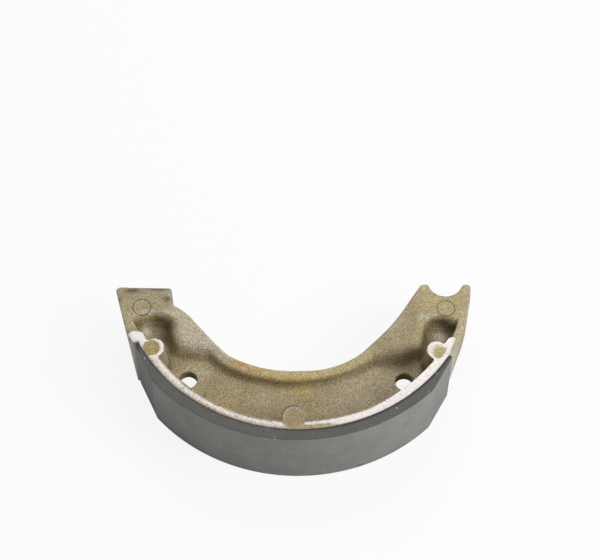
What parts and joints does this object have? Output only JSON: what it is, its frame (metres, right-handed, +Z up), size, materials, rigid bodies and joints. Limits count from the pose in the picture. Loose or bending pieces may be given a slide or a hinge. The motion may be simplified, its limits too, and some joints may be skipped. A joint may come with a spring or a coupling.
{
  "type": "drum brake shoe",
  "caption": "Curved die-cast brake shoe with a bonded friction lining, a flat cam pad at one end, an anchor pin notch at the other and return spring holes in the web.",
  "frame": {"origin": "on the axis of the brake drum, at the level of the lower edge of the shoe's table", "axes": "+X from the cam end to the anchor end, -Y from the drum axis to the lining, +Z up along the drum axis"},
  "size_m": [0.1235, 0.0645, 0.028],
  "materials": {
    "cast_aluminium": "grit-blasted die casting with golden stains; edges of the table machined bright",
    "friction_material": "ground grey friction composite with fine pale specks",
    "adhesive": "dark baked bonding film"
  },
  "bodies": {
    "root": {"shoe_casting": "cast_aluminium", "friction_lining": "friction_material", "bond_film": "adhesive"}
  },
  "joints": []
}
